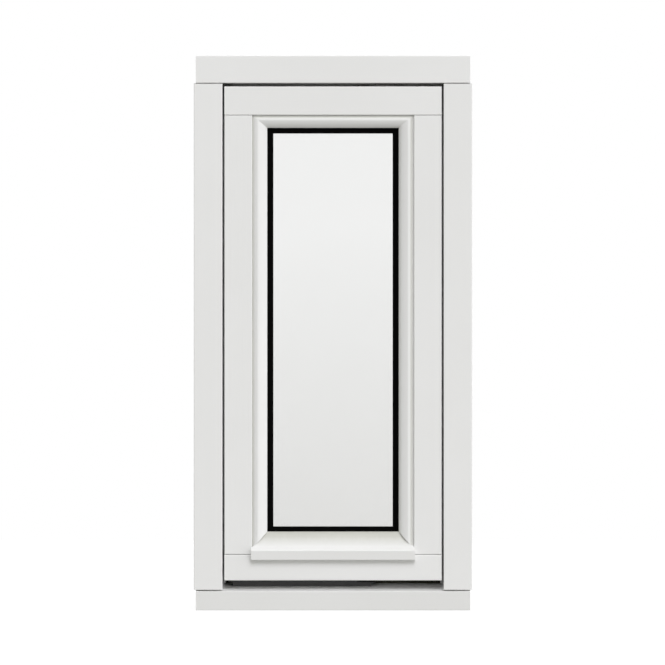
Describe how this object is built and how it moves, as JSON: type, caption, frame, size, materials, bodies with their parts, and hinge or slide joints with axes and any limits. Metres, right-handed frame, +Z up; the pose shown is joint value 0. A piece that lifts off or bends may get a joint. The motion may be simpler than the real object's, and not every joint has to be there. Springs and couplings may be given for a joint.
{
  "type": "side-hung window",
  "caption": "Upright white timber window with one outward-opening side-hung sash, double glazing in moulded beads, a deep sloping bottom bead and a sloping sill.",
  "frame": {"origin": "middle of the flat underside of the sill", "axes": "+X to the right seen from outside, +Y into the room, +Z up"},
  "size_m": [0.497, 0.1229, 0.99],
  "materials": {
    "painted_timber": "satin white paint on planed softwood",
    "seal_rubber": "black extruded rubber",
    "spacer_plastic": "matt black warm-edge spacer",
    "block_plastic": "matt dark plastic",
    "glass": "clear float glass",
    "handle_metal": "satin chrome plate on a metal casting",
    "stay_steel": "dark coated steel",
    "cap_plastic": "white moulded plastic, on the cover caps that the looks add",
    "fixing_steel": "zinc plate, on the fixing sleeves that the looks add"
  },
  "bodies": {
    "root": {"frame_head": "painted_timber", "frame_sill": "painted_timber", "frame_jamb_left": "painted_timber", "frame_jamb_right": "painted_timber", "sash_top_rail": "painted_timber", "sash_bottom_rail": "painted_timber", "sash_stile_left": "painted_timber", "sash_stile_right": "painted_timber", "bead_top": "painted_timber", "bead_left": "painted_timber", "bead_right": "painted_timber", "bead_bottom": "painted_timber", "frame_seal_top": "seal_rubber", "frame_seal_bottom": "seal_rubber", "frame_seal_left": "seal_rubber", "frame_seal_right": "seal_rubber", "outer_glazing_seal_top": "seal_rubber", "outer_glazing_seal_bottom": "seal_rubber", "outer_glazing_seal_left": "seal_rubber", "outer_glazing_seal_right": "seal_rubber", "inner_glazing_seal_top": "seal_rubber", "inner_glazing_seal_bottom": "seal_rubber", "inner_glazing_seal_left": "seal_rubber", "inner_glazing_seal_right": "seal_rubber", "spacer_top": "spacer_plastic", "spacer_bottom": "spacer_plastic", "spacer_left": "spacer_plastic", "spacer_right": "spacer_plastic", "setting_block_left": "block_plastic", "setting_block_right": "block_plastic", "glass_outer": "glass", "glass_inner": "glass", "handle_plate": "handle_metal", "handle_lever": "handle_metal", "friction_stay_top": "stay_steel", "friction_stay_bottom": "stay_steel"}
  },
  "joints": []
}
